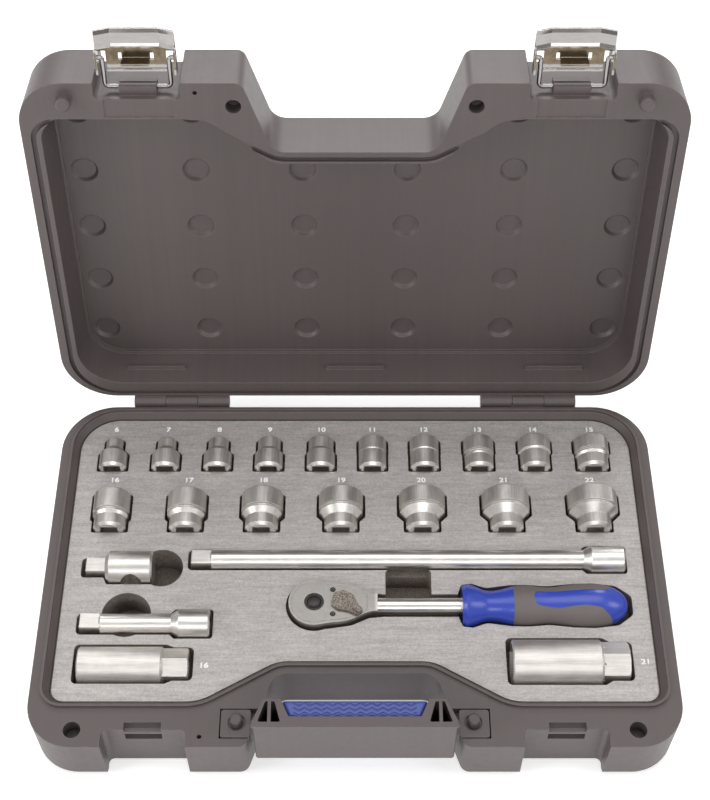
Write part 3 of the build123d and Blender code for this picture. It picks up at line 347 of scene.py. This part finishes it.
def grey_soft_grip():
    n = Nodes("grey_soft_grip")
    grain_height = n.noise(1500, 3.0)
    clouds = n.noise(60, 3.0)
    factor = n.math("MULTIPLY", n.remap(clouds, 0.88, 1.12), n.remap(grain_height, 0.9, 1.1))
    normal = n.bump(grain_height, 0.0001, 0.6, n.bevel(0.0005))
    roughness = n.remap(clouds, 0.5, 0.66)
    return n.finish(n.tint(GRIP_GREY_COLOUR, factor), roughness, normal, Specular_IOR_Level=0.4)


def black_rubber():
    n = Nodes("black_rubber")
    grain_height = n.noise(900, 3.0)
    colour = n.tint(RUBBER_COLOUR, n.remap(grain_height, 0.7, 1.3))
    return n.finish(colour, n.remap(grain_height, 0.6, 0.8), n.bump(grain_height, 0.0001, 0.5))


def white_ink():
    n = Nodes("white_ink")
    blots = n.noise(900, 3.0)
    return n.finish(n.tint(WHITE_INK, n.remap(blots, 0.9, 1.05, 0.3, 0.7)), n.remap(blots, 0.5, 0.7))


# ---------------------------------------------------------------- camera, floor and light

def add_camera():
    camera = bpy.data.objects.new("camera", bpy.data.cameras.new("camera"))
    camera.location = CAMERA_PLACE
    camera.rotation_euler = (radians(CAMERA_TILT), 0, 0)
    camera.data.lens = LENS
    camera.data.sensor_fit = "AUTO"
    camera.data.sensor_width = 36
    camera.data.clip_start = 0.01
    scene.collection.objects.link(camera)
    scene.camera = camera


def add_floor():
    floor_mesh = bpy.data.meshes.new("floor")
    half = 6.0
    corners = [(-half, -half, 0), (half, -half, 0), (half, half, 0), (-half, half, 0)]
    floor_mesh.from_pydata(corners, [], [(0, 1, 2, 3)])
    floor = bpy.data.objects.new("floor", floor_mesh)
    floor.location.z = -0.0004
    scene.collection.objects.link(floor)
    n = Nodes("floor_white")
    soft = n.noise(3, 2.0)
    n.finish(n.tint((0.86, 0.86, 0.86), n.remap(soft, 0.99, 1.01)), n.remap(soft, 0.8, 0.9))
    n.shader.inputs["Emission Color"].default_value = (1, 1, 1, 1)
    n.shader.inputs["Emission Strength"].default_value = 0.42
    floor_mesh.materials.append(n.material)


def add_softbox(name, place, target, size, power):
    light = bpy.data.lights.new(name, "AREA")
    light.shape = "RECTANGLE"
    light.size, light.size_y = size
    light.energy = power
    lamp = bpy.data.objects.new(name, light)
    lamp.location = place
    aim = Vector(target) - Vector(place)
    lamp.rotation_euler = aim.to_track_quat("-Z", "Y").to_euler()
    scene.collection.objects.link(lamp)


def add_lights():
    world = bpy.data.worlds.new("studio")
    world.use_nodes = True
    world.node_tree.nodes["Background"].inputs["Color"].default_value = (1.0, 0.985, 0.98, 1)
    world.node_tree.nodes["Background"].inputs["Strength"].default_value = 0.42
    scene.world = world
    centre = (0, 0, 0.05)
    add_softbox("top_box", (0.0, 0.25, 1.6), centre, (1.6, 0.9), 9)
    add_softbox("front_box", (0.1, -1.45, 1.25), centre, (1.3, 0.5), 8)
    add_softbox("left_box", (-1.3, -0.5, 0.9), centre, (0.6, 1.0), 8)
    add_softbox("right_box", (1.4, -0.3, 1.0), centre, (0.6, 1.0), 6)
    add_softbox("back_box", (0.0, 1.9, 1.35), (0, 0.1, 0.2), (2.2, 0.5), 27)


add_camera()
add_floor()
add_lights()

# ---------------------------------------------------------------- finishes of the CAD nodes

CASE = case_plastic()
LID = lid_plastic()
CHROME_ALONG_X = satin_chrome("satin_chrome_bars", (0.04, 1.0, 1.0))
CHROME_ROUGH = satin_chrome("satin_chrome_deep", (0.04, 1.0, 1.0), CHROME_COLOUR, (0.44, 0.54))
CHROME_SOCKET = satin_chrome("satin_chrome_sockets", (1.0, 0.06, 1.0))
BRIGHT = satin_chrome("bright_steel", (1.0, 1.0, 1.0), BRIGHT_COLOUR, (0.10, 0.2))
LATCH = satin_chrome("latch_steel", (1.0, 1.0, 1.0), LATCH_COLOUR, (0.12, 0.24))
LEVER = latch_lever_steel()
HEAD = satin_chrome("ratchet_head_steel", (1.0, 1.0, 1.0), HEAD_COLOUR, (0.38, 0.5))
DARK = dark_steel()
HANDLE_BLUE = blue_plastic("handle_blue", HANDLE_BLUE_COLOUR, HANDLE_BLUE_EDGE_HIGHLIGHT, (0.30, 0.42))
RATCHET_BLUE = blue_plastic("ratchet_blue", RATCHET_BLUE_COLOUR, RATCHET_BLUE_EDGE_HIGHLIGHT, (0.20, 0.30))

FINISHES = {
    "base_shell": CASE, "lid_shell": LID, "handle_frame": CASE, "handle_pins": CASE, "hinge_pins": BRIGHT,
    "handle_grip": HANDLE_BLUE, "inlay_face": inlay_laminate(),
    "extension_long": CHROME_ALONG_X, "extension_short": CHROME_ALONG_X, "tee_adapter": CHROME_ALONG_X,
    "extension_long_ball": BRIGHT, "extension_short_ball": BRIGHT, "tee_adapter_ball": BRIGHT,
    "ratchet_body": ratchet_body_steel(), "ratchet_cover": HEAD, "ratchet_cover_screws": DARK,
    "ratchet_drive_gear": DARK, "ratchet_drive_ball": BRIGHT, "ratchet_release_button": DARK,
    "ratchet_button_spring": BRIGHT, "ratchet_reversing_lever": knurled_lever(), "ratchet_pawl": DARK,
    "ratchet_grip_core": RATCHET_BLUE, "ratchet_grip_overlay": grey_soft_grip(),
}
RUBBER = black_rubber()
FOAM = cut_foam()
for node_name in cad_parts:
    if node_name.endswith("_bail"):
        FINISHES[node_name] = LATCH
    elif node_name.startswith("latch_"):
        FINISHES[node_name] = LEVER
    elif node_name.startswith("inlay_foam"):
        FINISHES[node_name] = FOAM
    elif node_name.startswith("spark_plug_sleeve"):
        FINISHES[node_name] = RUBBER
    elif node_name.startswith("spark_plug_socket"):
        FINISHES[node_name] = CHROME_ROUGH
    elif node_name.startswith("socket_"):
        FINISHES[node_name] = CHROME_SOCKET

for node_name, node_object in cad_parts.items():
    for material_slot in node_object.material_slots:
        material_slot.material = FINISHES[node_name]


# ---------------------------------------------------------------- printed size numbers

def printed_number(name, text, x, y, ink):
    """Flat number printed on the inlay, turned into a mesh that rides on the case."""
    curve = bpy.data.curves.new(name + "_outline", "FONT")
    curve.body = text
    curve.size = NUMBER_HEIGHT * SIZE_PER_DIGIT_HEIGHT
    curve.align_x = "CENTER"
    curve.align_y = "CENTER"
    curve.extrude = INK_THICKNESS / 2
    outline = bpy.data.objects.new(name + "_outline", curve)
    scene.collection.objects.link(outline)
    bpy.context.view_layer.update()
    mesh = bpy.data.meshes.new_from_object(outline)
    bpy.data.objects.remove(outline)
    bold = bmesh.new()
    for layer, (across, along) in enumerate(((-1, -1), (-1, 1), (1, -1), (1, 1))):
        first = len(bold.verts)
        bold.from_mesh(mesh)
        bold.verts.ensure_lookup_table()
        for vertex in bold.verts[first:]:
            vertex.co.x = vertex.co.x * NUMBER_STRETCH + across * NUMBER_BOLDNESS
            vertex.co.y += along * NUMBER_BOLDNESS
            vertex.co.z += layer * NUMBER_LAYER
    bold.to_mesh(mesh)
    bold.free()
    number = bpy.data.objects.new(name, mesh)
    number.location = (x / 1000, y / 1000, INLAY_TOP + INK_THICKNESS)
    mesh.materials.clear()
    mesh.materials.append(ink)
    scene.collection.objects.link(number)
    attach(number, "case_base")


INK = white_ink()
for index, x in enumerate(ROW_1_X):
    printed_number(f"number_row1_{index}", str(ROW_1_SMALLEST + index), x, ROW_1_Y, INK)
for index, x in enumerate(ROW_2_X):
    printed_number(f"number_row2_{index}", str(ROW_2_SMALLEST + index), x, ROW_2_Y, INK)
for index, (text, x, y) in enumerate(SINGLE_NUMBERS):
    printed_number(f"number_deep_{index}", text, x, y, INK)

scene.view_settings.view_transform = "Standard"
